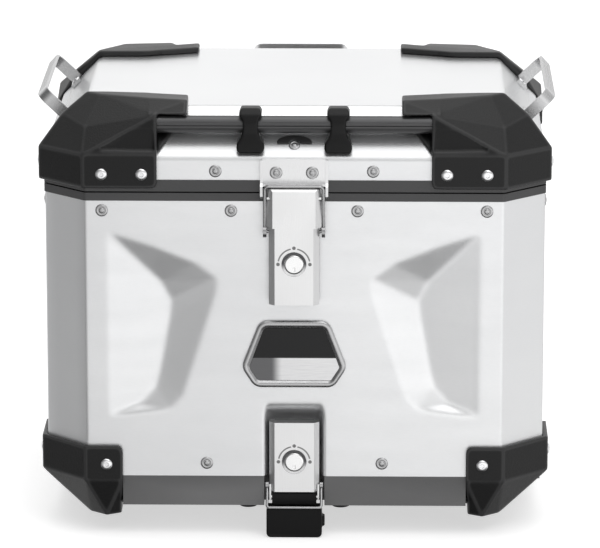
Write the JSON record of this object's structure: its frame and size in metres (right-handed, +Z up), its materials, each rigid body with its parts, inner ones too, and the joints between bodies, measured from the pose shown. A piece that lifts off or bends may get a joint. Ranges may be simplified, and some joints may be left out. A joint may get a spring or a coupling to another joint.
{
  "type": "motorcycle top case",
  "caption": "Hard aluminium motorcycle luggage case with chamfered corners, black corner guards, rear-hinged lid, over-centre latches with key locks, a front rail and grab loops.",
  "frame": {"origin": "centre of the carrier bolt pattern, on the underside of the base pan", "axes": "+X to the right when facing the latch side, +Y towards the hinge side, +Z up"},
  "size_m": [0.4504, 0.3785, 0.379],
  "materials": {
    "aluminium_sheet": "bead-blasted anodised sheet",
    "grey_profile": "satin dark grey coating",
    "black_guard": "fine textured black moulding",
    "grey_rail": "anodised grey, lengthwise brushed",
    "stainless": "satin brushed stainless",
    "bright_steel": "polished",
    "rivet_steel": "satin",
    "black_steel": "satin black",
    "rubber": "matt",
    "badge_chrome": "polished edge",
    "badge_plate": "black over silver",
    "webbing": "woven"
  },
  "bodies": {
    "body": {"body_shell": "aluminium_sheet", "base_pan": "grey_profile", "floor_mat": "rubber", "carrier_tongue": "black_steel", "tongue_bolts": "rivet_steel", "rubber_pads": "rubber", "body_rim": "grey_profile", "bottom_guard_front_left": "black_guard", "bottom_guard_front_right": "black_guard", "bottom_guard_rear_left": "black_guard", "bottom_guard_rear_right": "black_guard", "bottom_guard_screws": "rivet_steel", "body_rivets": "rivet_steel", "badge_frame": "badge_chrome", "badge_plate": "badge_plate", "hinge_left_body_leaf": "stainless", "hinge_right_body_leaf": "stainless", "hinge_left_pin": "bright_steel", "hinge_right_pin": "bright_steel", "hinge_rivets_body": "rivet_steel", "upper_latch_base": "stainless", "upper_latch_pin": "bright_steel", "latch_rivets": "rivet_steel", "lower_latch_base": "black_steel", "lower_latch_pin": "bright_steel", "lid_strap_left": "webbing", "lid_strap_right": "webbing"},
    "lid": {"lid_shell": "aluminium_sheet", "lid_rim": "grey_profile", "lid_seal": "rubber", "lid_guard_front_left": "black_guard", "lid_guard_front_right": "black_guard", "lid_guard_rear_left": "black_guard", "lid_guard_rear_right": "black_guard", "lid_guard_screws": "rivet_steel", "lid_rivets": "rivet_steel", "front_rail": "grey_rail", "rail_bracket_left": "black_guard", "rail_bracket_right": "black_guard", "rail_bracket_screws": "rivet_steel", "rail_buffer": "rubber", "side_loop_left": "stainless", "side_loop_right": "stainless", "rear_loop": "stainless", "loop_rivets": "rivet_steel", "hinge_left_lid_leaf": "stainless", "hinge_right_lid_leaf": "stainless", "hinge_rivets_lid": "rivet_steel", "keeper": "stainless", "keeper_rivets": "rivet_steel"},
    "upper_latch": {"upper_latch_lever": "stainless", "upper_lock_bezel": "bright_steel"},
    "upper_bail": {"upper_latch_bail": "bright_steel"},
    "upper_lock": {"upper_lock_cylinder": "bright_steel"},
    "lower_latch": {"lower_latch_lever": "stainless", "lower_lock_bezel": "bright_steel"},
    "lower_claw": {"lower_latch_bail": "bright_steel", "lower_latch_claw": "black_steel"},
    "lower_lock": {"lower_lock_cylinder": "bright_steel"}
  },
  "joints": [
    {"name": "lid_hinge", "type": "hinge", "parent": "body", "child": "lid", "pos_m": [0, 0.1825, 0.2772], "axis": [-1, 0, 0], "range_deg": [0, 95]},
    {"name": "upper_latch_hinge", "type": "hinge", "parent": "body", "child": "upper_latch", "pos_m": [0, -0.1855, 0.2741], "axis": [-1, 0, 0], "range_deg": [0, 92]},
    {"name": "upper_bail_hinge", "type": "hinge", "parent": "upper_latch", "child": "upper_bail", "pos_m": [0, -0.182, 0.2446], "axis": [-1, 0, 0], "range_deg": [-92, 0]},
    {"name": "upper_lock_turn", "type": "hinge", "parent": "upper_latch", "child": "upper_lock", "pos_m": [0, -0.1895, 0.2176], "axis": [0, -1, 0], "range_deg": [-90, 90]},
    {"name": "lower_latch_hinge", "type": "hinge", "parent": "body", "child": "lower_latch", "pos_m": [0, -0.175, 0.0076], "axis": [1, 0, 0], "range_deg": [0, 110]},
    {"name": "lower_claw_hinge", "type": "hinge", "parent": "lower_latch", "child": "lower_claw", "pos_m": [0, -0.173, 0.0176], "axis": [1, 0, 0], "range_deg": [-110, 0]},
    {"name": "lower_lock_turn", "type": "hinge", "parent": "lower_latch", "child": "lower_lock", "pos_m": [0, -0.179, 0.0401], "axis": [0, -1, 0], "range_deg": [-90, 90]}
  ],
  "couplings": [
    {"joint": "upper_bail_hinge", "follows": "upper_latch_hinge", "ratio": -1},
    {"joint": "lower_claw_hinge", "follows": "lower_latch_hinge", "ratio": -1}
  ]
}
